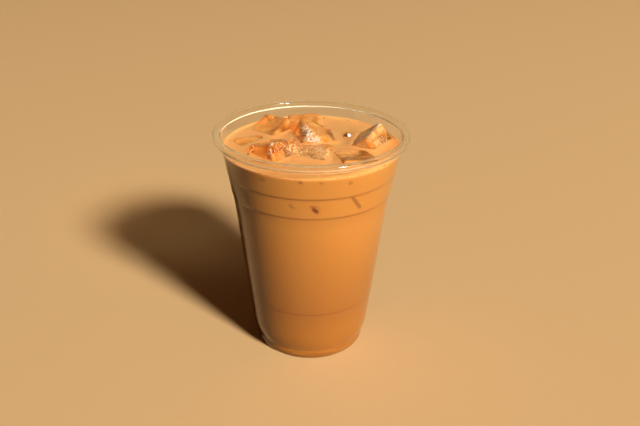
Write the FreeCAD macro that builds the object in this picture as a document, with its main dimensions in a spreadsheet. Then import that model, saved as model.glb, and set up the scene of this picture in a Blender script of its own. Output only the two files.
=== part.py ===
"""Iced milky drink in a clear thermoformed cup, with ice cubes standing out of it.

Frame: +Z up, origin at the middle of the cup's foot, millimetres.
The cup is one thin sheet: raised base panel, standing ring, rounded heel, tapered wall with two
stacking ridges, and a rim rolled outwards into a hollow bead. The drink fills the same inner line
up to its level, and every cube lies in a pocket of the drink.
"""
import FreeCAD, Part
import math
import os

import Sketcher

doc = FreeCAD.newDocument("iced_drink")


# ---------------------------------------------------------------- driving sizes

SIZES = [
    # cup
    ("cup_height", 118.0, "foot to top of the rolled rim"),
    ("rim_diameter", 98.0, "outside of the rolled rim, the usual size that lids snap onto"),
    ("sheet", 0.6, "thickness of the formed sheet"),
    ("curl_diameter", 4.0, "thickness of the rolled rim"),
    ("curl_turn", 118.0, "degrees the roll runs on below its own middle"),
    ("upper_taper", 9.4, "degrees from upright, rim to shoulder"),
    ("body_taper", 6.8, "degrees from upright, shoulder to heel"),
    ("upper_ridge_drop", 19.0, "rim top down to the upper stacking ridge"),
    ("lower_ridge_drop", 30.0, "rim top down to the lower stacking ridge"),
    ("shoulder_drop", 38.0, "rim top down to the change of taper"),
    ("ridge_step", 0.45, "how far a stacking ridge steps in"),
    ("ridge_length", 0.6, "length of a ridge's sloped step"),
    ("mark_height", 30.5, "foot up to the low moulding line"),
    ("mark_step", 0.2, "how far the moulding line steps in"),
    ("mark_length", 0.5, "length of the moulding line's step"),
    ("heel_height", 15.0, "foot up to where the wall starts to round in"),
    ("heel_inset", 2.8, "how far the heel rounds in down to the groove"),
    ("groove_height", 5.0, "foot up to the groove above the foot roll"),
    ("foot_round", 5.0, "radius of the foot roll"),
    ("foot_inset", 1.1, "groove in to the outside of the standing ring"),
    ("ring_width", 1.8, "width of the standing ring"),
    ("panel_lean", 1.0, "how far the inner side of the ring leans in"),
    ("panel_rise", 3.6, "foot up to the underside of the base panel"),
    # drink
    ("fill_drop", 8.9, "rim top down to the surface of the drink"),
    ("meniscus_rise", 0.8, "how far the drink climbs the wall"),
    ("meniscus_width", 2.2, "width of the climb"),
    # ice
    ("cube_edge", 21.0, "edge of a fresh cube"),
    ("cube_draft", 2.0, "degrees of draft that the mould leaves"),
    ("cube_round", 1.6, "radius that melting leaves on the edges"),
    ("cube_wall_gap", 0.4, "clearance between a cube and the cup"),
]

# Each cube: bearing in degrees and reach in millimetres of its middle from the cup's axis, how deep
# its middle lies under the surface, how much each side and its height have melted, and its lie as
# turn, pitch and roll in degrees. "wall" cubes lean on the cup, so their reach is counted inwards
# from the wall, and the others' reach is counted outwards from the axis.
CUBES = [
    # name          from    bearing reach depth melt thin turn pitch roll
    ("center",      "axis",   90.0, 12.0,  4.6, 1.5, 1.0,  16.0,  24.0,   8.0),
    ("front_left",  "axis",  213.0, 21.0,  3.8, 2.0, 1.0,  46.0,   4.0, -18.0),
    ("right",       "wall",   12.0, 13.4,  5.9, 0.0, 1.0, -32.0, -34.0,  10.0),
    ("back",        "wall",   97.0, 12.8,  4.0, 3.0, 7.0,   2.0,  -2.0,  10.0),
    ("back_left",   "wall",  129.0, 12.0,  5.6, 3.0, 2.0, -36.0,  -2.0,  22.0),
    ("front_right", "wall",  324.0, 17.6,  6.9, 2.0, 4.0,  17.0,   2.0,  -5.0),
    ("left",        "wall",  176.0, 14.4,  6.1, 3.0, 8.0,  30.0,   4.0,  12.0),
    ("front",       "axis",  277.0, 10.5,  5.3, 3.0, 7.0, -14.0,  -5.0,   8.0),
]
CUBE_FIELDS = ["bearing", "reach", "depth", "melt", "thin", "turn", "pitch", "roll"]


class Size:
    """A number together with the formula by which the document keeps it."""

    def __init__(self, value, formula):
        self.value = value
        self.formula = formula

    @staticmethod
    def of(other):
        return other if isinstance(other, Size) else Size(float(other), str(other))

    def combine(self, other, sign, value):
        return Size(value, f"({self.formula} {sign} {Size.of(other).formula})")

    def __add__(self, other):
        return self.combine(other, "+", self.value + Size.of(other).value)

    def __sub__(self, other):
        return self.combine(other, "-", self.value - Size.of(other).value)

    def __mul__(self, other):
        return self.combine(other, "*", self.value * Size.of(other).value)

    def __truediv__(self, other):
        return self.combine(other, "/", self.value / Size.of(other).value)


def sin(angle):
    return Size(math.sin(math.radians(angle.value)), f"sin({angle.formula})")


def cos(angle):
    return Size(math.cos(math.radians(angle.value)), f"cos({angle.formula})")


def tan(angle):
    return Size(math.tan(math.radians(angle.value)), f"tan({angle.formula})")


sheet = doc.addObject("Spreadsheet::Sheet", "sizes")


def fill_sheet():
    """Writes one row for each size, name, number and note, and hands the sizes back by name."""
    rows = list(SIZES)
    for name, _, *numbers in CUBES:
        for field, number in zip(CUBE_FIELDS, numbers):
            rows.append((f"{name}_{field}", number, f"{field} of the {name} cube"))
    named = {}
    for row, (name, number, note) in enumerate(rows, start=1):
        sheet.set(f"A{row}", name)
        sheet.set(f"B{row}", str(number))
        sheet.set(f"C{row}", note)
        sheet.setAlias(f"B{row}", name)
        named[name] = Size(number, f"sizes.{name}")
    doc.recompute()
    return named


size = fill_sheet()


# ---------------------------------------------------------------- sketches

def origin_plane(body, role):
    for feature in body.Origin.OriginFeatures:
        if feature.Role == role:
            return feature
    raise ValueError(role)


def new_sketch(body, name, role):
    sketch = body.newObject("Sketcher::SketchObject", name)
    sketch.AttachmentSupport = [(origin_plane(body, role), "")]
    sketch.MapMode = "FlatFace"
    return sketch


def bind(sketch, constraint, length):
    """Adds a constraint whose size follows the sheet."""
    index = sketch.addConstraint(constraint)
    name = f"size_{index}"
    sketch.renameConstraint(index, name)
    sketch.setExpression(f"Constraints.{name}", length.formula)


def fix_point(sketch, edge, end, point):
    """Ties one end of an edge to its place, on an axis where a coordinate is nothing."""
    across, up = point
    if across.value == 0.0:
        sketch.addConstraint(Sketcher.Constraint("PointOnObject", edge, end, -2))
    else:
        bind(sketch, Sketcher.Constraint("DistanceX", -1, 1, edge, end, across.value), across)
    if up.value == 0.0:
        sketch.addConstraint(Sketcher.Constraint("PointOnObject", edge, end, -1))
    else:
        bind(sketch, Sketcher.Constraint("DistanceY", -1, 1, edge, end, up.value), up)


def vector(point):
    return FreeCAD.Vector(point[0].value, point[1].value, 0)


def arc_through(start, stop, radius, left, large):
    """The circular arc from start to stop, turning left or right, as geometry and its end numbers."""
    chord = stop - start
    offset = math.sqrt(radius ** 2 - (chord.Length / 2) ** 2)
    side = FreeCAD.Vector(-chord.y, chord.x, 0).normalize()
    if left == large:
        side = -side
    middle = (start + stop) / 2 + side * offset
    first, last = (start, stop) if left else (stop, start)
    begin = math.atan2(first.y - middle.y, first.x - middle.x)
    end = math.atan2(last.y - middle.y, last.x - middle.x)
    circle = Part.Circle(middle, FreeCAD.Vector(0, 0, 1), radius)
    return Part.ArcOfCircle(circle, begin, end), (1, 2) if left else (2, 1)


def turn_between(first, second):
    turn = math.atan2(second.y, second.x) - math.atan2(first.y, first.x)
    return math.remainder(turn, 2 * math.pi)


def smooth_arc(start, stop, turn):
    """The arc from start to stop whose end directions lie the given turn off its chord."""
    radius = abs((stop - start).Length / (2 * math.sin(turn)))
    return arc_through(start, stop, radius, turn > 0, False)


class Outline:
    """A closed run of lines and arcs in a sketch, every corner tied to the sheet."""

    def __init__(self, sketch, start):
        self.sketch = sketch
        self.start = start
        self.here = start
        self.edges = []

    def add(self, geometry, ends, point, join="Coincident"):
        edge = self.sketch.addGeometry(geometry, False)
        if self.edges:
            before, before_ends = self.edges[-1]
            meet = Sketcher.Constraint(join, before, before_ends[1], edge, ends[0])
            self.sketch.addConstraint(meet)
        self.edges.append((edge, ends))
        if point is self.start:
            first, first_ends = self.edges[0]
            meet = Sketcher.Constraint("Coincident", edge, ends[1], first, first_ends[0])
            self.sketch.addConstraint(meet)
        fix_point(self.sketch, edge, ends[1], point)
        self.here = point
        return edge

    def line(self, point, join="Coincident"):
        self.add(Part.LineSegment(vector(self.here), vector(point)), (1, 2), point, join)

    def arc(self, point, radius, left=True, large=False):
        geometry, ends = arc_through(vector(self.here), vector(point), radius.value, left, large)
        edge = self.add(geometry, ends, point)
        bind(self.sketch, Sketcher.Constraint("Radius", edge, radius.value), radius)

    def arc_into_line(self, point, after):
        """An arc to point that runs on smoothly into the straight edge from point to after."""
        start, stop, beyond = vector(self.here), vector(point), vector(after)
        geometry, ends = smooth_arc(start, stop, turn_between(stop - start, beyond - stop))
        self.add(geometry, ends, point)
        self.line(after, "Tangent")

    def line_into_arc(self, before, point):
        """A straight edge to before that runs on smoothly into an arc to point."""
        start, middle, stop = vector(self.here), vector(before), vector(point)
        self.line(before)
        geometry, ends = smooth_arc(middle, stop, turn_between(middle - start, stop - middle))
        self.add(geometry, ends, point, "Tangent")


# ---------------------------------------------------------------- the cup's own line

ZERO = Size(0.0, "0")
CURL_RADIUS = size["curl_diameter"] / 2
CURL_ACROSS = size["rim_diameter"] / 2 - CURL_RADIUS
CURL_UP = size["cup_height"] - CURL_RADIUS
UPPER_SLOPE = tan(size["upper_taper"])
BODY_SLOPE = tan(size["body_taper"])


def wall_top(inset):
    """Where the straight wall meets the roll, on the outer face or inset by the sheet."""
    reach = CURL_RADIUS - size["sheet"] + inset
    across = CURL_ACROSS - reach * cos(size["upper_taper"])
    up = CURL_UP + reach * sin(size["upper_taper"])
    return across, up


def below(point, up, slope, step=ZERO):
    """The point lower down the wall at height up, stepped in as well."""
    return point[0] - (point[1] - up) * slope - step, up


def wall_points(inset):
    """Corners of one face of the wall from the rim down, by name."""
    top = wall_top(inset)
    upper_ridge = below(top, size["cup_height"] - size["upper_ridge_drop"], UPPER_SLOPE)
    upper_foot = below(upper_ridge, upper_ridge[1] - size["ridge_length"], ZERO, size["ridge_step"])
    lower_ridge = below(upper_foot, size["cup_height"] - size["lower_ridge_drop"], UPPER_SLOPE)
    lower_foot = below(lower_ridge, lower_ridge[1] - size["ridge_length"], ZERO, size["ridge_step"])
    shoulder = below(lower_foot, size["cup_height"] - size["shoulder_drop"], UPPER_SLOPE)
    mark = below(shoulder, size["mark_height"], BODY_SLOPE)
    mark_foot = below(mark, size["mark_height"] - size["mark_length"], ZERO, size["mark_step"])
    heel = below(mark_foot, size["heel_height"], BODY_SLOPE)
    groove = (heel[0] - size["heel_inset"], size["groove_height"])
    ring_out = (groove[0] - size["foot_inset"], inset)
    ring_in = (ring_out[0] - size["ring_width"] + inset * 2, inset)
    panel = (ring_in[0] - size["panel_lean"], size["panel_rise"] + inset)
    return {
        "top": top, "upper_ridge": upper_ridge, "upper_foot": upper_foot,
        "lower_ridge": lower_ridge, "lower_foot": lower_foot, "shoulder": shoulder,
        "mark": mark, "mark_foot": mark_foot, "heel": heel, "groove": groove,
        "ring_out": ring_out, "ring_in": ring_in, "panel": panel,
        "middle": (ZERO, size["panel_rise"] + inset),
    }


OUTSIDE = wall_points(ZERO)
INSIDE = wall_points(size["sheet"])
UP_THE_WALL = ["mark", "shoulder", "lower_foot", "lower_ridge", "upper_foot", "upper_ridge"]


def draw_outside(outline):
    """The outer face, from the middle of the base panel up to the roll."""
    for corner in ("panel", "ring_in", "ring_out"):
        outline.line(OUTSIDE[corner])
    outline.arc(OUTSIDE["groove"], size["foot_round"])
    outline.arc_into_line(OUTSIDE["heel"], OUTSIDE["mark_foot"])
    for corner in UP_THE_WALL:
        outline.line(OUTSIDE[corner])
    outline.line(OUTSIDE["top"])


def draw_inside(outline):
    """The inner face, from above the upper ridge down to the middle of the base panel."""
    for corner in reversed(UP_THE_WALL):
        outline.line(INSIDE[corner])
    outline.line(INSIDE["mark_foot"])
    outline.line_into_arc(INSIDE["heel"], INSIDE["groove"])
    outline.arc(INSIDE["ring_out"], size["foot_round"] - size["sheet"], left=False)
    for corner in ("ring_in", "panel", "middle"):
        outline.line(INSIDE[corner])


# ---------------------------------------------------------------- cup

def revolve(body, name, sketch):
    """Turns a sketch right round the upright axis of its body."""
    revolution = body.newObject("PartDesign::Revolution", name)
    revolution.Profile = sketch
    revolution.ReferenceAxis = (sketch, ["V_Axis"])
    revolution.Angle = 360.0
    return revolution


def make_cup():
    """The whole cup as one sheet: up the outside, round the roll, down the inside."""
    body = doc.addObject("PartDesign::Body", "cup")
    sketch = new_sketch(body, "sheet_section", "XZ_Plane")
    turn = size["curl_turn"]
    hollow = CURL_RADIUS - size["sheet"]
    lip_in = (CURL_ACROSS + hollow * cos(turn), CURL_UP - hollow * sin(turn))
    lip_out = (CURL_ACROSS + CURL_RADIUS * cos(turn), CURL_UP - CURL_RADIUS * sin(turn))
    outline = Outline(sketch, OUTSIDE["middle"])
    draw_outside(outline)
    outline.arc(lip_in, hollow, left=False, large=True)
    outline.line(lip_out)
    outline.arc(INSIDE["top"], CURL_RADIUS, left=True, large=True)
    draw_inside(outline)
    outline.line(OUTSIDE["middle"])
    revolve(body, "formed_sheet", sketch)
    return body


# ---------------------------------------------------------------- drink

SURFACE = size["cup_height"] - size["fill_drop"]
SURFACE_RADIUS = INSIDE["upper_ridge"][0] + (SURFACE - INSIDE["upper_ridge"][1]) * UPPER_SLOPE


def make_fill():
    """The drink before the cubes go in: the cup's inner line up to a surface that climbs the wall."""
    body = doc.addObject("PartDesign::Body", "drink_fill")
    sketch = new_sketch(body, "drink_section", "XZ_Plane")
    rise = size["meniscus_rise"]
    edge = (SURFACE_RADIUS + rise * UPPER_SLOPE, SURFACE + rise)
    flat = (SURFACE_RADIUS - size["meniscus_width"], SURFACE)
    outline = Outline(sketch, (ZERO, SURFACE))
    outline.line_into_arc(flat, edge)
    draw_inside(outline)
    outline.line(outline.start)
    revolve(body, "poured", sketch)
    return body


# ---------------------------------------------------------------- ice

def make_room():
    """The space that the cubes may fill: the cup's inside less their clearance, open at the top."""
    body = doc.addObject("PartDesign::Body", "cube_room")
    sketch = new_sketch(body, "room_section", "XZ_Plane")
    room = wall_points(size["sheet"] + size["cube_wall_gap"])
    over = room["top"][1] + size["cube_edge"]
    outline = Outline(sketch, (ZERO, size["heel_height"]))
    for corner in ("heel", "mark_foot", *UP_THE_WALL, "top"):
        outline.line(room[corner])
    outline.line((room["top"][0], over))
    outline.line((ZERO, over))
    outline.line(outline.start)
    revolve(body, "inside_of_cup", sketch)
    return body


def make_block(name, origin):
    """One cube as it left the mould and melted: a drafted block with rounded edges, put in its place."""
    def own(field):
        return size[f"{name}_{field}"]

    body = doc.addObject("PartDesign::Body", f"{name}_block")
    side = size["cube_edge"] - own("melt")
    tall = size["cube_edge"] - own("thin")
    sketch = new_sketch(body, f"{name}_face", "XY_Plane")
    sketch.setExpression("AttachmentOffset.Base.z", f"-{(tall / 2).formula}")
    half = side.value / 2
    corners = [(-half, -half), (half, -half), (half, half), (-half, half)]
    for here, there in zip(corners, corners[1:] + corners[:1]):
        ends = FreeCAD.Vector(*here, 0), FreeCAD.Vector(*there, 0)
        sketch.addGeometry(Part.LineSegment(*ends), False)
    for edge in range(4):
        following = (edge + 1) % 4
        sketch.addConstraint(Sketcher.Constraint("Coincident", edge, 2, following, 1))
    for edge, way in enumerate(["Horizontal", "Vertical", "Horizontal", "Vertical"]):
        sketch.addConstraint(Sketcher.Constraint(way, edge))
    sketch.addConstraint(Sketcher.Constraint("Symmetric", 0, 1, 2, 1, -1, 1))
    bind(sketch, Sketcher.Constraint("DistanceX", 0, 1, 0, 2, side.value), side)
    bind(sketch, Sketcher.Constraint("DistanceY", 1, 1, 1, 2, side.value), side)
    pad = body.newObject("PartDesign::Pad", f"{name}_pad")
    pad.Profile = sketch
    pad.setExpression("Length", tall.formula)
    pad.setExpression("TaperAngle", f"-{size['cube_draft'].formula}")
    doc.recompute()
    melted = body.newObject("PartDesign::Fillet", f"{name}_melted")
    melted.Base = (pad, [f"Edge{number + 1}" for number in range(len(pad.Shape.Edges))])
    melted.setExpression("Radius", size["cube_round"].formula)
    reach = own("reach") if origin == "axis" else SURFACE_RADIUS - own("reach")
    across = (reach * cos(own("bearing"))).formula
    along = (reach * sin(own("bearing"))).formula
    up = (SURFACE - own("depth")).formula
    lie = ", ".join(own(field).formula for field in ("turn", "pitch", "roll"))
    place = f"create(<<vector>>; {across}; {along}; {up})"
    turned = f"create(<<rotation>>; {lie.replace(',', ';')})"
    body.setExpression("Placement", f"create(<<placement>>; {place}; {turned})")
    return body


def combine(kind, name, base, tool):
    result = doc.addObject(f"Part::{kind}", name)
    result.Base = base
    result.Tool = tool
    return result


def gather(name, shapes):
    """One object that stands for several."""
    if len(shapes) == 1:
        return shapes[0]
    joined = doc.addObject("Part::MultiFuse", name)
    joined.Shapes = shapes
    return joined


def make_cubes(room):
    """Every cube, kept inside the cup and cut back where it would run into one laid before it."""
    cubes = []
    for name, origin, *_ in CUBES:
        block = make_block(name, origin)
        cube = combine("Common", f"{name}_in_cup", block, room)
        if cubes:
            cube = combine("Cut", f"{name}_fitted", cube, gather(f"{name}_neighbours", list(cubes)))
        cube.Label = f"ice_{name}"
        cubes.append(cube)
    return cubes


# ---------------------------------------------------------------- build, check and write

def main():
    cup = make_cup()
    fill = make_fill()
    cubes = make_cubes(make_room())
    drink = combine("Cut", "drink", fill, gather("all_cubes", cubes))
    doc.recompute()
    for item in doc.Objects:
        if "Invalid" in item.State or "Error" in item.State:
            raise RuntimeError(f"{item.Name} did not build: {item.State}")
    os.makedirs("parts", exist_ok=True)
    for node in [cup, drink, *cubes]:
        shape = node.Shape
        if shape.isNull() or not shape.isValid() or not shape.Solids:
            raise RuntimeError(f"{node.Label} has no sound solid")
        shape.exportStep(f"parts/{node.Label}.step")
        volume = shape.Volume / 1000
        print(f"{node.Label:18s} {len(shape.Solids)} solid {volume:8.2f} ml")


main()
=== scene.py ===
"""An iced milk drink in a clear takeaway cup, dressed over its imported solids.

Sections follow the making: the formed cup, the cubes, the drink poured round them, the loose
crystals and the bubbles, then the table, the light and the camera. Blender works in metres in the
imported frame, and the measures below are in millimetres where MM or a comment says so.
"""
import math
import random
import bpy
from mathutils import Matrix, Vector, noise
from mathutils.bvhtree import BVHTree


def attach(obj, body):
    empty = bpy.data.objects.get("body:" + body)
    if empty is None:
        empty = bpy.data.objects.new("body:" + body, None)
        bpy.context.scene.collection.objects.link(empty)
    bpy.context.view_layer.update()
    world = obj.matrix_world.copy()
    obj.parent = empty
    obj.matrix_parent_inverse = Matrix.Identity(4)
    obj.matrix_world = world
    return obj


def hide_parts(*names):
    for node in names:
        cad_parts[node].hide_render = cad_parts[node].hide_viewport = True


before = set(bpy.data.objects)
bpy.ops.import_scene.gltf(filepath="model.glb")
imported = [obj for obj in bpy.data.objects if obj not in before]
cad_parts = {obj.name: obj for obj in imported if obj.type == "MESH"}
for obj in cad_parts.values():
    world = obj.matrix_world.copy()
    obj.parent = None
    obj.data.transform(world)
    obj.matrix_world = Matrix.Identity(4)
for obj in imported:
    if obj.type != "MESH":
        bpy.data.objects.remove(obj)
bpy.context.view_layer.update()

# ---------------------------------------------------------------- cup
# A clear PET cup, thermoformed from one 0.6 mm sheet: a ring to stand on round a raised base, a
# rounded heel, two stacking ridges, and a rim rolled outwards into a hollow bead. The sheet is
# glossy on both sides, and drawing it down leaves it very slightly uneven.
MM = 0.001
SHEET = 0.6


def start_mesh():
    """Leaves edit mode and deselects all, so the next primitive is worked on alone."""
    if bpy.context.object and bpy.context.object.mode != "OBJECT":
        bpy.ops.object.mode_set(mode="OBJECT")
    bpy.ops.object.select_all(action="DESELECT")


def arc_points(start, stop, radius, steps):
    """Points along a circular arc that bulges away from the cup's axis, its start left out."""
    chord = Vector(stop) - Vector(start)
    sink = math.sqrt(radius ** 2 - (chord.length / 2) ** 2)
    middle = (Vector(start) + Vector(stop)) / 2 + Vector((-chord.y, chord.x)).normalized() * sink
    first = math.atan2(start[1] - middle.y, start[0] - middle.x)
    turn = math.remainder(math.atan2(stop[1] - middle.y, stop[0] - middle.x) - first, 2 * math.pi)
    angles = [first + turn * step / steps for step in range(1, steps + 1)]
    return [(middle.x + radius * math.cos(a), middle.y + radius * math.sin(a)) for a in angles]


def draw_rings(rings, segments):
    """Draws ring after ring out of the last one, from a circle at the first (radius, height)."""
    start_mesh()
    bpy.ops.mesh.primitive_circle_add(vertices=segments, radius=rings[0][0] * MM,
                                      fill_type="NOTHING", location=(0, 0, rings[0][1] * MM))
    piece = bpy.context.object
    bpy.ops.object.transform_apply(location=True, rotation=False, scale=False)
    bpy.ops.object.mode_set(mode="EDIT")
    bpy.ops.mesh.select_all(action="SELECT")
    for before, ring in zip(rings, rings[1:]):
        lift = {"value": (0, 0, (ring[1] - before[1]) * MM)}
        bpy.ops.mesh.extrude_region_move(TRANSFORM_OT_translate=lift)
        scale = ring[0] / before[0]
        bpy.ops.transform.resize(value=(scale, scale, 1), center_override=(0, 0, 0))
    return piece


def select_height(piece, height, within):
    """Selects, in edit mode, the corners of the piece at one height and nothing else."""
    bpy.ops.mesh.select_all(action="DESELECT")
    bpy.ops.object.mode_set(mode="OBJECT")
    for vertex in piece.data.vertices:
        vertex.select = abs(vertex.co.z - height) < within
    bpy.ops.object.mode_set(mode="EDIT")


def apply_all(piece):
    """Applies every modifier of the piece in order."""
    bpy.context.view_layer.objects.active = piece
    for modifier in list(piece.modifiers):
        bpy.ops.object.modifier_apply(modifier=modifier.name)


def add_node(tree, kind, settings=None, links=None):
    """Adds a node, sets its properties and sockets, and plugs other nodes' sockets into it."""
    node = tree.nodes.new(kind)
    for key, value in (settings or {}).items():
        if isinstance(key, int) or key in node.inputs:
            node.inputs[key].default_value = value
        else:
            setattr(node, key, value)
    for key, source in (links or {}).items():
        tree.links.new(source, node.inputs[key])
    return node


def color(code):
    """A linear colour from an sRGB hex value."""
    parts = [int(code[i:i + 2], 16) / 255 for i in (1, 3, 5)]
    return tuple(p / 12.92 if p <= 0.04045 else ((p + 0.055) / 1.055) ** 2.4 for p in parts) + (1.0,)


# The inner line of the cup as (radius, height) in millimetres: the base panel's edge, the standing
# ring, the foot roll and the heel.
PANEL_HEIGHT = 4.2
FOOT_LINE = [(24.92, PANEL_HEIGHT), (25.92, 0.6), (26.52, 0.6)]
FOOT_LINE += arc_points((26.52, 0.6), (27.62, 5.0), 4.4, 6)
FOOT_LINE += arc_points((27.62, 5.0), (30.42, 15.0), 33.8, 6)
# Each ledge has a ring just under and just over it, which keep its corners tight.
WALL_LINE = [(32.17, 29.7), (32.21, 30.0), (32.41, 30.5), (32.45, 30.8), (38.31, 80.0),
             (39.49, 87.1), (39.54, 87.4), (39.99, 88.0), (40.04, 88.3),
             (41.66, 98.1), (41.71, 98.4), (42.16, 99.0), (42.21, 99.3)]
# The rim rolls outwards round a circle of 2 mm, from the wall over the top and back under.
ROLL = [(47 + 2 * math.cos(math.radians(a)), 116 + 2 * math.sin(math.radians(a)))
        for a in [170.5 - 9.95 * step for step in range(30)]]

cup = draw_rings(FOOT_LINE + WALL_LINE + ROLL, 192)
cup.data.materials.append(None)
cup.data.materials.append(None)
select_height(cup, PANEL_HEIGHT * MM, 1e-6)
bpy.ops.mesh.edge_face_add()
bpy.ops.mesh.inset(thickness=8 * MM)
bpy.ops.mesh.select_all(action="SELECT")
bpy.ops.mesh.normals_make_consistent(inside=False)
bpy.ops.object.mode_set(mode="OBJECT")
thickness = cup.modifiers.new("sheet", "SOLIDIFY")
thickness.thickness = SHEET * MM
thickness.offset = -1
thickness.material_offset_rim = 1
apply_all(cup)
bpy.ops.object.shade_smooth_by_angle(angle=math.radians(50))
cup.name = "formed_cup"

# Clear PET, formed hot: a glossy skin that shows sharp highlights, in which draw marks 18 mm round
# and 70 mm along the wall waver a little. It hardly shades what lies behind it.
pet = bpy.data.materials.new("clear_pet_thermoformed")
pet.use_nodes = True
tree = pet.node_tree
tree.nodes.clear()
place = add_node(tree, "ShaderNodeTexCoord")
draw_marks = add_node(tree, "ShaderNodeMapping", {"Scale": (55, 55, 14)},
                      {"Vector": place.outputs["Object"]})
unevenness = add_node(tree, "ShaderNodeTexNoise", {"Scale": 1.0, "Detail": 2.0, "Roughness": 0.4},
                      {"Vector": draw_marks.outputs["Vector"]})
relief = add_node(tree, "ShaderNodeBump", {"Strength": 0.35, "Distance": 0.0006},
                  {"Height": unevenness.outputs["Fac"]})
sheet = add_node(tree, "ShaderNodeBsdfPrincipled",
                 {"Base Color": color("#FBFAF6"), "Roughness": 0.03, "IOR": 1.5,
                  "Specular IOR Level": 0.15, "Transmission Weight": 1.0},
                 {"Normal": relief.outputs["Normal"]})
let_through = add_node(tree, "ShaderNodeBsdfTransparent", {"Color": color("#F6F3EC")})
ray = add_node(tree, "ShaderNodeLightPath")
either = add_node(tree, "ShaderNodeMixShader", None,
                  {0: ray.outputs["Is Shadow Ray"], 1: sheet.outputs["BSDF"],
                   2: let_through.outputs["BSDF"]})
add_node(tree, "ShaderNodeOutputMaterial", None, {"Surface": either.outputs["Shader"]})

# The rolled sheet ends in a sheared edge of the same PET: it is left matt, with shear marks of
# 0.4 mm, so it shows as a pale line round the rim and not as a dark one.
trimmed = bpy.data.materials.new("clear_pet_sheared_edge")
trimmed.use_nodes = True
tree = trimmed.node_tree
tree.nodes.clear()
place = add_node(tree, "ShaderNodeTexCoord")
shear_marks = add_node(tree, "ShaderNodeTexNoise", {"Scale": 2500.0, "Detail": 2.0},
                       {"Vector": place.outputs["Object"]})
relief = add_node(tree, "ShaderNodeBump", {"Strength": 0.4, "Distance": 0.0002},
                  {"Height": shear_marks.outputs["Fac"]})
matt = add_node(tree, "ShaderNodeBsdfPrincipled",
                {"Base Color": color("#F6E6CB"), "Roughness": 0.6, "IOR": 1.5, "Transmission Weight": 0.5},
                {"Normal": relief.outputs["Normal"]})
add_node(tree, "ShaderNodeOutputMaterial", None, {"Surface": matt.outputs["BSDF"]})
cup.data.materials[0] = pet
cup.data.materials[1] = trimmed
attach(cup, "root")
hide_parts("cup")

# ---------------------------------------------------------------- ice
# Moulded cubes of clear ice, half melted: their edges are rounded, their faces dished and worn.
# Knocks leave whitish frost of fine cracks on some edges and faces, and a thin film of the drink
# lies on them in patches. Some of the white is painted highlight: near-white lines along edges and a
# tip, and cream patches on faces turned to the light.
ICE = ["center", "front_left", "right", "back", "back_left", "front_right", "left", "front"]
# Frosted runs, in millimetres: from, to, half width, how white. Many are painted highlights: the
# strongest, near white, lie along edges, on a tip and on faces turned to the light.
FROST_AND_HIGHLIGHTS = [
    ((-19.2, -19.8, 117.3), (-19.7, -22.7, 109.4), 0.4, 2.5),
    ((-18.8, -18.0, 117.4), (-19.2, -19.6, 117.0), 0.9, 2.5),
    ((-9.0, -12.0, 113.8), (-6.2, -10.5, 111.6), 1.6, 0.3),
    ((-6.3, 17.0, 116.6), (-5.0, 8.5, 115.6), 0.9, 0.8),
    ((-4.8, 9.0, 115.2), (-1.5, 1.8, 113.8), 2.8, 2.0),
    ((-1.0, 1.2, 112.6), (3.6, 2.0, 110.6), 2.2, 1.8),
    ((-9.5, -14.5, 113.2), (-6.0, -12.5, 112.2), 2.2, 1.1),
    ((1.0, -4.5, 111.4), (5.0, -9.0, 111.6), 2.2, 0.8),
    ((5.5, -9.0, 111.5), (7.8, -17.5, 110.2), 2.0, 1.0),
    ((-4.0, -15.5, 110.6), (4.0, -17.0, 110.6), 1.4, 0.5),
    ((34.5, 11.2, 117.5), (27.3, -4.4, 115.0), 0.4, 2.5),
    ((32.5, -1.0, 112.0), (38.5, 0.5, 110.0), 2.2, 0.5),
    ((25.5, 1.0, 112.8), (32.5, 11.5, 116.6), 4.5, 1.3),
]
# Places where the film has run off and the ice is bare and dark, given in the same way.
BARE = [
    ((-20.9, -20.2, 114.8), (-21.4, -20.6, 109.6), 1.4, 1.0),
    ((-17.2, -20.6, 115.4), (-15.4, -20.2, 110.0), 2.6, 1.0),
    ((-14.5, -18.5, 114.5), (-9.5, -15.0, 110.6), 2.6, 1.0),
    ((-28.8, -12.0, 113.0), (-29.5, -12.5, 110.5), 1.3, 1.0),
    ((-27.8, 10.0, 110.8), (-26.2, 9.0, 110.6), 1.2, 1.0),
    ((-20.5, -2.0, 114.5), (-22.0, -8.0, 114.0), 2.6, 0.7),
    ((26.0, -22.0, 111.3), (31.0, -18.0, 110.2), 2.2, 0.8),
    ((40.5, 12.0, 112.0), (41.0, 5.0, 110.5), 2.8, 0.9),
    ((36.0, 7.0, 114.5), (37.0, 3.0, 111.0), 2.4, 0.6),
    ((-2.0, -9.0, 111.0), (1.8, -14.0, 110.8), 0.5, 0.9),
]
# Places where the drink still lies thick on the ice.
COATED = [
    ((2.0, 15.0, 114.5), (8.0, 5.0, 111.5), 4.5, 0.95),
    ((-8.0, 34.0, 113.0), (5.0, 31.0, 112.4), 6.0, 0.8),
    ((-27.0, 19.0, 111.0), (-14.0, 24.0, 114.5), 5.0, 0.75),
    ((-36.0, 3.0, 111.3), (-22.0, 5.0, 110.5), 4.0, 0.8),
    ((13.5, -19.0, 111.3), (25.0, -16.0, 111.2), 7.0, 0.45),
    ((25.0, 1.0, 113.5), (32.5, 11.0, 116.5), 6.0, 0.9),
    ((0.0, -8.0, 111.3), (8.0, -16.0, 110.3), 5.0, 0.85),
]


def run_distance(point, start, stop):
    """How far a point lies from the straight run between two others."""
    along = Vector(stop) - Vector(start)
    share = max(0.0, min(1.0, (point - Vector(start)).dot(along) / along.length_squared))
    return (point - Vector(start) - along * share).length


def painted(point, runs):
    """How strongly the strongest of some runs marks a point, with a ragged edge."""
    ragged = noise.noise(point / 1.7)
    return max(strength * max(0.0, min(1.0, (1.4 * reach - run_distance(point, start, stop)
                                             - 0.45 * min(reach, 2.0) * ragged) / (0.8 * reach)))
               for start, stop, reach, strength in runs)
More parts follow.
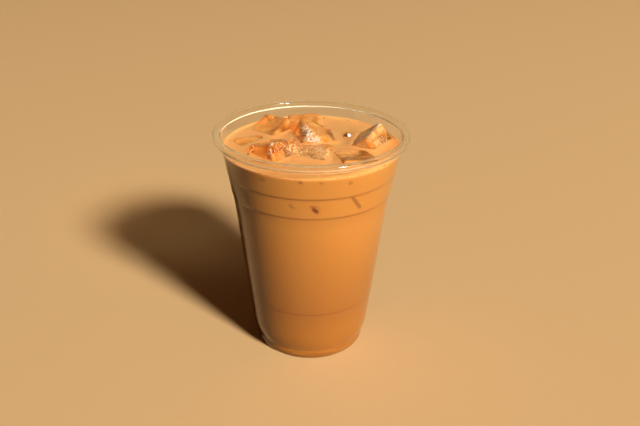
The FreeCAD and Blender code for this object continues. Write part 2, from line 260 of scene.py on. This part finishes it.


# Wet ice: clear and smooth where it is bare, a caramel gloss where the film of drink lies, and matt
# and pale where it is crushed, with painted highlights near white on edges and faces turned to the
# light. Ripples are 2.6 mm apart, cracks 1.1 mm, the film's streaks 4 by 11 mm.
ice_glass = bpy.data.materials.new("clear_ice_wet")
ice_glass.use_nodes = True
tree = ice_glass.node_tree
tree.nodes.clear()
place = add_node(tree, "ShaderNodeTexCoord")
frost_and_highlight = add_node(tree, "ShaderNodeAttribute", {"attribute_name": "frost_and_highlight"})
cover = add_node(tree, "ShaderNodeAttribute", {"attribute_name": "cover"})
ripple = add_node(tree, "ShaderNodeTexNoise", {"Scale": 380.0, "Detail": 3.0, "Roughness": 0.55},
                  {"Vector": place.outputs["Object"]})
crystals = add_node(tree, "ShaderNodeTexVoronoi", {"Scale": 900.0},
                    {"Vector": place.outputs["Object"]})
relief = add_node(tree, "ShaderNodeBump", {"Strength": 0.3, "Distance": 0.0006},
                  {"Height": ripple.outputs["Fac"]})
sharp = add_node(tree, "ShaderNodeMath", {"operation": "MULTIPLY"},
                 {0: crystals.outputs["Distance"], 1: frost_and_highlight.outputs["Fac"]})
rough_relief = add_node(tree, "ShaderNodeBump", {"Strength": 0.9, "Distance": 0.0008},
                        {"Height": sharp.outputs[0], "Normal": relief.outputs["Normal"]})
clear = add_node(tree, "ShaderNodeBsdfPrincipled",
                 {"Base Color": color("#F8E4C4"), "Roughness": 0.02, "IOR": 1.31,
                  "Transmission Weight": 1.0}, {"Normal": rough_relief.outputs["Normal"]})
runs = add_node(tree, "ShaderNodeMapping", {"Scale": (260, 260, 90), "Rotation": (0.5, 0.3, 0)},
                {"Vector": place.outputs["Object"]})
streaks = add_node(tree, "ShaderNodeTexNoise",
                   {"Scale": 1.0, "Detail": 3.0, "Roughness": 0.55, "Distortion": 0.6},
                   {"Vector": runs.outputs["Vector"]})
layers = add_node(tree, "ShaderNodeMapRange", {"From Min": 0.36, "From Max": 0.64},
                  {"Value": streaks.outputs["Fac"]})
film_tone = add_node(tree, "ShaderNodeMix",
                     {"data_type": "RGBA", 6: color("#DC8A34"), 7: color("#F3B061")},
                     {"Factor": layers.outputs["Result"]})
film = add_node(tree, "ShaderNodeBsdfPrincipled",
                {"Roughness": 0.1, "IOR": 1.34, "Subsurface Weight": 1.0,
                 "Subsurface Radius": (1.0, 0.9, 0.75), "Subsurface Scale": 3.2 * MM},
                {"Base Color": film_tone.outputs["Result"], "Normal": relief.outputs["Normal"]})
# Frost stronger than 1 is painted highlight and painted light, from cream to near white.
painted_highlight_share = add_node(tree, "ShaderNodeMapRange", {"From Min": 1.0, "From Max": 2.0},
                  {"Value": frost_and_highlight.outputs["Fac"]})
frost_and_highlight_tone = add_node(tree, "ShaderNodeMix",
                      {"data_type": "RGBA", 6: color("#FBC988"), 7: color("#FFF0DC")},
                      {"Factor": painted_highlight_share.outputs["Result"]})
white = add_node(tree, "ShaderNodeBsdfPrincipled", {"Roughness": 0.25, "IOR": 1.31},
                 {"Base Color": frost_and_highlight_tone.outputs["Result"], "Normal": rough_relief.outputs["Normal"]})
coated = add_node(tree, "ShaderNodeMixShader", None,
                  {0: cover.outputs["Fac"], 1: clear.outputs["BSDF"], 2: film.outputs["BSDF"]})
broken = add_node(tree, "ShaderNodeTexNoise", {"Scale": 700.0, "Detail": 2.0},
                  {"Vector": place.outputs["Object"]})
cracked = add_node(tree, "ShaderNodeMapRange", {"From Min": 0.38, "From Max": 0.62},
                   {"Value": broken.outputs["Fac"]})
whitened = add_node(tree, "ShaderNodeMath", {"operation": "MULTIPLY"},
                    {0: cracked.outputs["Result"], 1: frost_and_highlight.outputs["Fac"]})
frost_and_highlight_mix = add_node(tree, "ShaderNodeMixShader", None,
                   {0: whitened.outputs[0], 1: coated.outputs["Shader"], 2: white.outputs["BSDF"]})
let_through = add_node(tree, "ShaderNodeBsdfTransparent", {"Color": color("#F6DDBC")})
ray = add_node(tree, "ShaderNodeLightPath")
either = add_node(tree, "ShaderNodeMixShader", None,
                  {0: ray.outputs["Is Shadow Ray"], 1: frost_and_highlight_mix.outputs["Shader"],
                   2: let_through.outputs["BSDF"]})
add_node(tree, "ShaderNodeOutputMaterial", None, {"Surface": either.outputs["Shader"]})

# Melting dishes the faces in hollows of 7 mm and wears them in finer ones of 4 mm.
dished = bpy.data.textures.new("dished_faces", "VORONOI")
dished.noise_scale = 7 * MM
dished.distance_metric = "DISTANCE"
worn = bpy.data.textures.new("worn_faces", "CLOUDS")
worn.noise_scale = 4 * MM
worn.noise_depth = 2

CUBE_VOXEL = 0.4
LEAST_FILM, MOST_FILM, MEAN_FILM = 0.12, 0.8, 0.46
cubes = {}
for name in ICE:
    start_mesh()
    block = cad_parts["ice_" + name]
    cube = bpy.data.objects.new("cube_" + name, block.data.copy())
    bpy.context.scene.collection.objects.link(cube)
    cube.select_set(True)
    bpy.context.view_layer.objects.active = cube
    bpy.ops.object.mode_set(mode="EDIT")
    bpy.ops.mesh.select_all(action="SELECT")
    bpy.ops.mesh.remove_doubles(threshold=0.00001)
    bpy.ops.object.mode_set(mode="OBJECT")
    fine = cube.modifiers.new("even_mesh", "REMESH")
    fine.mode = "VOXEL"
    fine.voxel_size = CUBE_VOXEL * MM
    soften = cube.modifiers.new("melted_edges", "SMOOTH")
    soften.factor = 0.5
    soften.iterations = 1
    hollows = cube.modifiers.new("dished", "DISPLACE")
    hollows.texture = dished
    hollows.texture_coords = "LOCAL"
    hollows.strength = -0.6 * MM
    hollows.mid_level = 0.3
    wear = cube.modifiers.new("worn", "DISPLACE")
    wear.texture = worn
    wear.texture_coords = "LOCAL"
    wear.strength = 0.3 * MM
    wear.mid_level = 0.6
    apply_all(cube)
    bpy.ops.object.shade_smooth()
    for key in ("frost_and_highlight", "cover"):
        cube.data.attributes.new(key, "FLOAT", "POINT")
    frost_and_highlight_amounts = cube.data.attributes["frost_and_highlight"].data
    filmed = cube.data.attributes["cover"].data
    for vertex in cube.data.vertices:
        point = vertex.co / MM
        film_share = max(LEAST_FILM, min(MOST_FILM, MEAN_FILM + 0.9 * noise.noise(point / 5)))
        film_share *= 1 - min(1.0, painted(point, BARE))
        filmed[vertex.index].value = max(film_share, painted(point, COATED))
        # Frost, and painted highlights and painted light where the runs are strong.
        frost_and_highlight_amounts[vertex.index].value = painted(point, FROST_AND_HIGHLIGHTS)
    cube.data.materials.clear()
    cube.data.materials.append(ice_glass)
    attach(cube, "root")
    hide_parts("ice_" + name)
    cubes[name] = cube

# ---------------------------------------------------------------- drink
# Strong tea or coffee with plenty of milk: an opaque caramel brown that lets light in for less than a
# millimetre. It fills the cup to 9 mm under the rim, climbs the wall and the cubes a little, and its
# open top is glossy.
SURFACE = 109.1
EDGE = 43.95
# The drink reaches this far into the sheet, so no gap shows between them.
INTO_WALL = 0.12
# How high the drink climbs a cube, over what distance, and how uneven its top is.
CLIMB, CLIMB_REACH, UNEVEN = 0.9, 1.5, 0.12


def wall_radius(height):
    """The inner radius of the cup at a height, in millimetres."""
    line = FOOT_LINE[2:] + WALL_LINE + [(45.03, 116.33)]
    for below, above in zip(line, line[1:]):
        if height <= above[1]:
            share = max(0.0, (height - below[1]) / (above[1] - below[1]))
            return below[0] + (above[0] - below[0]) * share
    return line[-1][0]


# Rings every millimetre where marks show through the wall.
rows = {row[1] for row in WALL_LINE} | set(range(89, 98)) | set(range(100, 109)) | {108.6}
side = [(25.82, 0.6 - INTO_WALL), (26.62, 0.6 - INTO_WALL)]
side += [(radius + INTO_WALL, height) for radius, height in FOOT_LINE[3:]]
side += [(wall_radius(height) + INTO_WALL, height) for height in sorted(rows)]
side.insert(0, (24.92, PANEL_HEIGHT - INTO_WALL))
climb = [(EDGE + 0.13, SURFACE + 0.8), (EDGE - 0.35, SURFACE + 0.45), (EDGE - 0.8, SURFACE + 0.22),
         (EDGE - 1.4, SURFACE + 0.08), (EDGE - 2.1, SURFACE)]
top = [(41.0 - step, SURFACE) for step in range(0, 41)]
top[-1] = (0.4, SURFACE)
drink = draw_rings(side + climb + top, 256)
bpy.ops.mesh.edge_face_add()
select_height(drink, (PANEL_HEIGHT - INTO_WALL) * MM, 1e-6)
bpy.ops.mesh.edge_face_add()
bpy.ops.mesh.select_all(action="SELECT")
bpy.ops.mesh.normals_make_consistent(inside=False)
bpy.ops.object.mode_set(mode="OBJECT")
drink.name = "milk_drink"

shapes = [BVHTree.FromObject(cube, bpy.context.evaluated_depsgraph_get()) for cube in cubes.values()]
for vertex in drink.data.vertices:
    if vertex.co.z > (SURFACE - 0.01) * MM and vertex.co.xy.length < (EDGE - 0.5) * MM:
        nearest = min(shape.find_nearest(vertex.co)[3] for shape in shapes)
        vertex.co.z += CLIMB * MM * math.exp(-nearest / (CLIMB_REACH * MM))
        vertex.co.z += UNEVEN * MM * noise.noise(vertex.co / (9 * MM))

# The pockets are cut by the cubes, made a little smaller so that ice and drink overlap a hair and no
# gap opens round a cube.
POCKET_VOXEL, POCKET_SHRINK = 0.6, 0.14
start_mesh()
for cube in cubes.values():
    cube.select_set(True)
bpy.context.view_layer.objects.active = cubes["center"]
bpy.ops.object.duplicate()
bpy.ops.object.join()
pockets = bpy.context.object
even = pockets.modifiers.new("even_mesh", "REMESH")
even.mode = "VOXEL"
even.voxel_size = POCKET_VOXEL * MM
shrink = pockets.modifiers.new("shrink", "DISPLACE")
shrink.strength = -POCKET_SHRINK * MM
shrink.mid_level = 0.0
apply_all(pockets)
hollowed = drink.modifiers.new("pockets", "BOOLEAN")
hollowed.operation = "DIFFERENCE"
hollowed.solver = "EXACT"
hollowed.object = pockets
apply_all(drink)
bpy.data.objects.remove(pockets)
start_mesh()
drink.select_set(True)
bpy.context.view_layer.objects.active = drink
bpy.ops.object.shade_smooth_by_angle(angle=math.radians(40))
# Painted shade where bubbles and corners of sunken cubes touch the wall and the shade in them shows
# through, in millimetres: from, to, half width, how dark.
SUNK_SHADE_MARKS = [
    ((1.6, -40.9, 93.6), (2.6, -40.6, 92.2), 1.1, 1.0),
    ((-0.4, -41.2, 95.2), (4.2, -40.9, 94.4), 0.5, 0.5),
    ((-9.4, -40.1, 95.2), (-7.8, -40.2, 93.9), 0.7, 0.45),
    ((19.3, -36.9, 98.0), (23.0, -33.4, 91.6), 0.9, 0.6),
    ((-30.6, -27.4, 94.4), (-29.6, -27.0, 91.0), 1.6, 0.3),
    ((-22.6, -37.1, 107.0), (-21.8, -37.6, 107.0), 0.7, 0.6),
    ((17.4, -39.8, 106.5), (18.4, -39.4, 106.5), 0.7, 0.5),
    ((-5.0, -43.4, 108.2), (-4.2, -43.4, 108.2), 0.6, 0.6),
    ((4.1, -43.5, 108.0), (4.9, -43.4, 108.0), 0.6, 0.5),
]
# The heights at which the drink fills a moulded ledge, and how dark the painted shade of the step is
# along it.
LEDGES = [(30.25, 0.75), (87.7, 0.55), (98.7, 0.55)]
LEDGE_REACH = 0.8
# Pockets that stay dark because the cubes over them shade them.
SHADED = [
    ((-20.0, -20.0, 108.0), (-12.0, -14.0, 101.0), 6.0, 1.0),
    ((18.0, -21.0, 108.0), (28.0, -19.0, 104.0), 7.0, 1.0),
    ((40.5, 10.0, 109.0), (38.0, 4.0, 104.0), 4.0, 0.7),
    ((-28.5, -11.0, 109.0), (-26.0, -8.0, 104.0), 3.0, 0.7),
    ((-27.0, 9.5, 109.0), (-25.0, 8.0, 106.0), 2.5, 0.8),
]
# Painted shade: a pocket is at its darkest this far under the surface.
FULLY_DARK = 16
KINDS = ("at_wall", "painted_wall_shade", "depth", "open_top")
for key in KINDS:
    drink.data.attributes.new(key, "FLOAT", "POINT")
amounts = {key: drink.data.attributes[key].data for key in KINDS}
for vertex in drink.data.vertices:
    point = vertex.co / MM
    under = SURFACE - point.z
    from_wall = wall_radius(point.z) - point.xy.length
    near_wall = max(0.0, min(1.0, (1.2 - from_wall) / 0.7)) if point.z > 12 else 1.0
    amounts["at_wall"][vertex.index].value = near_wall
    # Painted shade along the ledges and at the marks, on the wall only.
    ledge_shade = max(dark * (1 - abs(point.z - step) / LEDGE_REACH) for step, dark in LEDGES)
    amounts["painted_wall_shade"][vertex.index].value = max(painted(point, SUNK_SHADE_MARKS), ledge_shade) if near_wall > 0.5 else 0.0
    amounts["depth"][vertex.index].value = max(0.0, min(1.0, under / FULLY_DARK),
                                               painted(point, SHADED))
    amounts["open_top"][vertex.index].value = max(0.0, min(1.0, 1 - (under - 0.15) / 0.35))

# Milky drink: browner low in the cup, a painted shade for where less light comes in, and with no gloss
# of its own where the sheet covers it. The open top is painted paler, as painted light from above,
# smooth and wet, with clouds of 17 mm.
milk = bpy.data.materials.new("milk_tea_strong")
milk.use_nodes = True
tree = milk.node_tree
tree.nodes.clear()
place = add_node(tree, "ShaderNodeTexCoord")
clouds = add_node(tree, "ShaderNodeTexNoise", {"Scale": 60.0, "Detail": 3.0, "Roughness": 0.5},
                  {"Vector": place.outputs["Object"]})
height = add_node(tree, "ShaderNodeSeparateXYZ", None, {"Vector": place.outputs["Object"]})
# Painted shade: the wall colour grows browner towards the bottom of the cup.
lower_shade = add_node(tree, "ShaderNodeMapRange", {"From Min": 0.004, "From Max": 0.085},
                   {"Value": height.outputs["Z"]})
deep = add_node(tree, "ShaderNodeMix", {"data_type": "RGBA", 6: color("#AC702B"), 7: color("#C48A42")},
                {"Factor": lower_shade.outputs["Result"]})
# Painted light: the open top is paler than the wall.
pale = add_node(tree, "ShaderNodeMix", {"data_type": "RGBA", 6: color("#F0A95F"), 7: color("#F6B26A")},
                {"Factor": clouds.outputs["Fac"]})
# Painted shade on the wall: dark marks of bubbles and sunken corners, and the ledge lines.
painted_wall_shade = add_node(tree, "ShaderNodeAttribute", {"attribute_name": "painted_wall_shade"})
shade_marked = add_node(tree, "ShaderNodeMix", {"data_type": "RGBA", 7: color("#7A3A22")},
                  {"Factor": painted_wall_shade.outputs["Fac"], 6: deep.outputs["Result"]})
# Painted shade in the pockets: darker deeper down and under the cubes that shade them.
depth = add_node(tree, "ShaderNodeAttribute", {"attribute_name": "depth"})
pocket = add_node(tree, "ShaderNodeMix", {"data_type": "RGBA", 6: color("#EEB472"), 7: color("#8F5726")},
                  {"Factor": depth.outputs["Fac"]})
where = add_node(tree, "ShaderNodeAttribute", {"attribute_name": "at_wall"})
covered = add_node(tree, "ShaderNodeMix", {"data_type": "RGBA"},
                   {"Factor": where.outputs["Fac"], 6: pocket.outputs["Result"],
                    7: shade_marked.outputs["Result"]})
THROUGH = {"Subsurface Weight": 1.0, "Subsurface Radius": (1.0, 0.65, 0.4),
           "Subsurface Scale": 0.6 * MM}
held = add_node(tree, "ShaderNodeBsdfPrincipled", {"Roughness": 0.5, "Specular IOR Level": 0.0, **THROUGH},
                {"Base Color": covered.outputs["Result"]})
free = add_node(tree, "ShaderNodeBsdfPrincipled", {"Roughness": 0.14, "IOR": 1.35, **THROUGH},
                {"Base Color": pale.outputs["Result"]})
top_side = add_node(tree, "ShaderNodeAttribute", {"attribute_name": "open_top"})
body = add_node(tree, "ShaderNodeMixShader", None,
                {0: top_side.outputs["Fac"], 1: held.outputs["BSDF"], 2: free.outputs["BSDF"]})
add_node(tree, "ShaderNodeOutputMaterial", None, {"Surface": body.outputs["Shader"]})
drink.data.materials.clear()
drink.data.materials.append(milk)
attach(drink, "root")
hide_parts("drink")

# ---------------------------------------------------------------- crystals
# Splinters and beads of ice that lie loose on the frosted places, wet with the drink: they are
# what glitters on the cubes. Some are milky and pale, some clear and dark.
random.seed(4)
start_mesh()
bpy.ops.mesh.primitive_ico_sphere_add(subdivisions=1, radius=MM)
grain = bpy.context.object
bpy.ops.object.mode_set(mode="EDIT")
bpy.ops.mesh.bevel(offset=0.12 * MM, segments=1, affect="EDGES")
bpy.ops.object.mode_set(mode="OBJECT")
# Where the grains lie, given like the frost.
GLITTER = [
    ((-15.0, -18.5, 113.5), (-7.0, -12.0, 111.5), 4.5, 0.8),
    ((-12.0, -12.0, 116.0), (-7.0, -8.0, 113.5), 3.0, 0.4),
    ((-5.0, 8.0, 115.0), (2.0, 1.5, 111.5), 3.5, 0.7),
    ((-3.0, -8.0, 111.5), (6.0, -16.0, 110.8), 5.5, 0.8),
    ((33.0, 0.0, 112.0), (41.0, 5.0, 110.5), 3.0, 0.8),
]
GRAIN_SHARE = 0.22
AFLOAT = 90
spots = []
for cube in cubes.values():
    for vertex in cube.data.vertices:
        if vertex.co.z > (SURFACE + 0.2) * MM and random.random() < GRAIN_SHARE:
            if random.random() < painted(vertex.co / MM, GLITTER):
                spots.append((vertex.co.copy(), vertex.normal.copy()))
for step in range(AFLOAT):
    floating = Vector((random.gauss(-4, 5), random.gauss(-12, 4), SURFACE + 0.35)) * MM
    spots.append((floating, Vector((0, 0, 1))))
grains = []
for spot, up in spots:
    bit = bpy.data.objects.new("grain", grain.data.copy())
    bpy.context.scene.collection.objects.link(bit)
    size = random.uniform(0.1, 0.3)
    turn = Matrix.Rotation(random.uniform(0, 6.28), 4, Vector((random.random(), random.random(), 1)))
    squash = Matrix.Diagonal((size, size * random.uniform(0.6, 1.0), size * random.uniform(0.5, 0.9), 1))
    bit.data.transform(Matrix.Translation(spot + up * size * 0.3 * MM) @ turn @ squash)
    grains.append(bit)
bpy.data.objects.remove(grain)
start_mesh()
for bit in grains:
    bit.select_set(True)
bpy.context.view_layer.objects.active = grains[0]
bpy.ops.object.join()
crystal = bpy.context.object
crystal.name = "ice_crystals"
# Splintered ice, wet: each grain is pale or caramel as it happens to lie, under a thin wet coat that
# gives it a spark. The tones change every 1.1 mm, about from grain to grain.
wet = bpy.data.materials.new("wet_ice_crystals")
wet.use_nodes = True
tree = wet.node_tree
tree.nodes.clear()
place = add_node(tree, "ShaderNodeTexCoord")
each = add_node(tree, "ShaderNodeTexNoise", {"Scale": 900.0, "Detail": 1.0},
                {"Vector": place.outputs["Object"]})
tones = add_node(tree, "ShaderNodeMapRange", {"From Min": 0.36, "From Max": 0.52},
                 {"Value": each.outputs["Fac"]})
tone = add_node(tree, "ShaderNodeMix", {"data_type": "RGBA", 6: color("#DE9C58"), 7: color("#FFE8BC")},
                {"Factor": tones.outputs["Result"]})
surface = add_node(tree, "ShaderNodeBsdfPrincipled", {"Roughness": 0.12, "IOR": 1.31, "Coat Weight": 0.5},
                   {"Base Color": tone.outputs["Result"]})
add_node(tree, "ShaderNodeOutputMaterial", None, {"Surface": surface.outputs["BSDF"]})
crystal.data.materials.clear()
crystal.data.materials.append(wet)
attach(crystal, "root")

# ---------------------------------------------------------------- bubbles
# Bubbles that pouring left: a thin chain along the wall and a few against the cubes. Each is a dome
# of a clear film, with painted shade in the middle, where it shows the hollow, and a painted highlight
# at its edge.
start_mesh()
bpy.ops.mesh.primitive_uv_sphere_add(segments=16, ring_count=10, radius=MM)
bubble = bpy.context.object
bpy.ops.object.mode_set(mode="EDIT")
bpy.ops.mesh.select_all(action="SELECT")
bpy.ops.mesh.bisect(plane_co=(0, 0, -0.5 * MM), plane_no=(0, 0, 1), use_fill=True, clear_inner=True)
bpy.ops.object.mode_set(mode="OBJECT")
bpy.ops.object.shade_smooth_by_angle(angle=math.radians(60))
# Each bubble as x, y and radius in millimetres. The first is a tip of ice melted to a bead.
BUBBLES = [(18.8, 14.7, 2.0), (-27.6, 11.5, 0.7), (-28.8, 9.6, 0.6), (-30.5, -12.5, 0.8),
           (16.6, 13.2, 0.5)]
ALONG_WALL = 74
for step in range(ALONG_WALL):
    around = math.radians(random.choice((-90, -90, -122, -60, 90)) + random.uniform(-38, 38))
    size = random.choice((0.2, 0.25, 0.3, 0.45))
    out = EDGE - 0.25 - size * random.uniform(0.9, 2.6)
    BUBBLES.append((out * math.cos(around), out * math.sin(around), size))
domes = []
for x, y, size in BUBBLES:
    dome = bpy.data.objects.new("dome", bubble.data.copy())
    bpy.context.scene.collection.objects.link(dome)
    from_edge = EDGE - math.hypot(x, y)
    lift = 0.45 * math.exp(-from_edge / 0.9)
    dome.data.transform(Matrix.Translation((x * MM, y * MM, (SURFACE + lift) * MM)) @ Matrix.Scale(size, 4))
    domes.append(dome)
bpy.data.objects.remove(bubble)
# The bead has a flat, 1.8 mm from its middle, that faces halfway between the light and the eye.
start_mesh()
domes[0].select_set(True)
bpy.context.view_layer.objects.active = domes[0]
bpy.ops.object.mode_set(mode="EDIT")
bpy.ops.mesh.select_all(action="SELECT")
shine_side = Vector((0.243, -0.841, 0.483))
flat_at = Vector((18.8, 14.7, SURFACE)) * MM + shine_side * 1.8 * MM
bpy.ops.mesh.bisect(plane_co=flat_at, plane_no=shine_side, use_fill=True, clear_outer=True)
bpy.ops.mesh.faces_shade_flat()
start_mesh()
for dome in domes:
    dome.select_set(True)
bpy.context.view_layer.objects.active = domes[0]
bpy.ops.object.join()
froth = bpy.context.object
froth.name = "pour_bubbles"
# A thin wet film over a hollow, sharply glossy: painted shade where it is looked into, and a painted
# highlight at its edge.
skin = bpy.data.materials.new("bubble_film")
skin.use_nodes = True
tree = skin.node_tree
tree.nodes.clear()
facing = add_node(tree, "ShaderNodeLayerWeight", {"Blend": 0.35})
rings = add_node(tree, "ShaderNodeMix", {"data_type": "RGBA", 6: color("#7C3F1C"), 7: color("#E9A866")},
                 {"Factor": facing.outputs["Facing"]})
shine = add_node(tree, "ShaderNodeBsdfPrincipled", {"Roughness": 0.06, "IOR": 1.34},
                 {"Base Color": rings.outputs["Result"]})
add_node(tree, "ShaderNodeOutputMaterial", None, {"Surface": shine.outputs["BSDF"]})
froth.data.materials.clear()
froth.data.materials.append(skin)
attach(froth, "root")

# ---------------------------------------------------------------- table
# Seamless background paper, pale tan and matt, with a faint tooth of 1.1 mm. What it throws back on
# to the cup counts as a deeper brown, as from a room with dark walls.
start_mesh()
bpy.ops.mesh.primitive_plane_add(size=6, location=(0, 0, 0))
paper_sheet = bpy.context.object
paper_sheet.name = "background_paper"
bpy.ops.object.mode_set(mode="EDIT")
bpy.ops.mesh.subdivide(number_cuts=9)
bpy.ops.object.mode_set(mode="OBJECT")
paper = bpy.data.materials.new("background_paper_matt")
paper.use_nodes = True
tree = paper.node_tree
tree.nodes.clear()
place = add_node(tree, "ShaderNodeTexCoord")
tooth = add_node(tree, "ShaderNodeTexNoise", {"Scale": 900.0, "Detail": 4.0, "Roughness": 0.6},
                 {"Vector": place.outputs["Object"]})
relief = add_node(tree, "ShaderNodeBump", {"Strength": 0.25, "Distance": 0.0003},
                  {"Height": tooth.outputs["Fac"]})
ray = add_node(tree, "ShaderNodeLightPath")
lit = add_node(tree, "ShaderNodeMix", {"data_type": "RGBA", 6: color("#E5BC86"), 7: color("#865A30")},
               {"Factor": ray.outputs["Diffuse Depth"]})
matt = add_node(tree, "ShaderNodeBsdfPrincipled", {"Roughness": 0.9, "Specular IOR Level": 0.2},
                {"Base Color": lit.outputs["Result"], "Normal": relief.outputs["Normal"]})
add_node(tree, "ShaderNodeOutputMaterial", None, {"Surface": matt.outputs["BSDF"]})
paper_sheet.data.materials.append(paper)

# ---------------------------------------------------------------- light
# One soft box high to the front right, and an even low light all round, which is pale where it is
# seen directly, mirrored or through the cup, and dim in what it lights.
key_data = bpy.data.lights.new("soft_box", "AREA")
key_data.shape = "DISK"
key_data.size = 1.7
key_data.energy = 1390.0
key_data.color = (1.0, 0.95, 0.86)
key = bpy.data.objects.new("soft_box", key_data)
bpy.context.scene.collection.objects.link(key)
toward = Vector((0.5, -0.65, 0.56)).normalized()
key.location = Vector((0, 0, 0.06)) + toward * 10
key.rotation_euler = toward.to_track_quat("Z", "Y").to_euler()
key.visible_transmission = False

world = bpy.data.worlds.new("even_light")
bpy.context.scene.world = world
world.use_nodes = True
tree = world.node_tree
tree.nodes.clear()
around = add_node(tree, "ShaderNodeBackground", {"Color": color("#FFB070"), "Strength": 0.05})
behind = add_node(tree, "ShaderNodeBackground", {"Color": color("#DDB680"), "Strength": 0.9})
ray = add_node(tree, "ShaderNodeLightPath")
through = add_node(tree, "ShaderNodeMath", {"operation": "MAXIMUM"},
                   {0: ray.outputs["Is Camera Ray"], 1: ray.outputs["Is Transmission Ray"]})
mirrored = add_node(tree, "ShaderNodeMath", {"operation": "MAXIMUM"},
                    {0: through.outputs[0], 1: ray.outputs["Is Glossy Ray"]})
direct = add_node(tree, "ShaderNodeMath", {"operation": "SUBTRACT", 0: 1.0, "use_clamp": True},
                  {1: ray.outputs["Diffuse Depth"]})
seen = add_node(tree, "ShaderNodeMath", {"operation": "MULTIPLY"},
                {0: mirrored.outputs[0], 1: direct.outputs[0]})
either = add_node(tree, "ShaderNodeMixShader", None,
                  {0: seen.outputs[0], 1: around.outputs["Background"], 2: behind.outputs["Background"]})
add_node(tree, "ShaderNodeOutputWorld", None, {"Surface": either.outputs["Shader"]})

# ---------------------------------------------------------------- camera
# About 26 degrees above the table, 0.48 m off, with a normal lens on a 36 mm wide sensor.
camera_data = bpy.data.cameras.new("camera")
camera_data.lens = 47.81
camera_data.sensor_width = 36.0
camera = bpy.data.objects.new("camera", camera_data)
bpy.context.scene.collection.objects.link(camera)
pitch, yaw, roll = math.radians(25.67), math.radians(0.69), math.radians(0.78)
ahead = Vector((math.sin(yaw) * math.cos(pitch), math.cos(yaw) * math.cos(pitch), -math.sin(pitch)))
level = Vector((math.cos(yaw), -math.sin(yaw), 0))
upright = level.cross(ahead)
across = level * math.cos(roll) + upright * math.sin(roll)
upwards = upright * math.cos(roll) - level * math.sin(roll)
turned = Matrix((across, upwards, -ahead)).transposed().to_4x4()
camera.matrix_world = Matrix.Translation((0, -0.39736, 0.26299)) @ turned
bpy.context.scene.camera = camera
bpy.context.scene.view_settings.view_transform = "Standard"
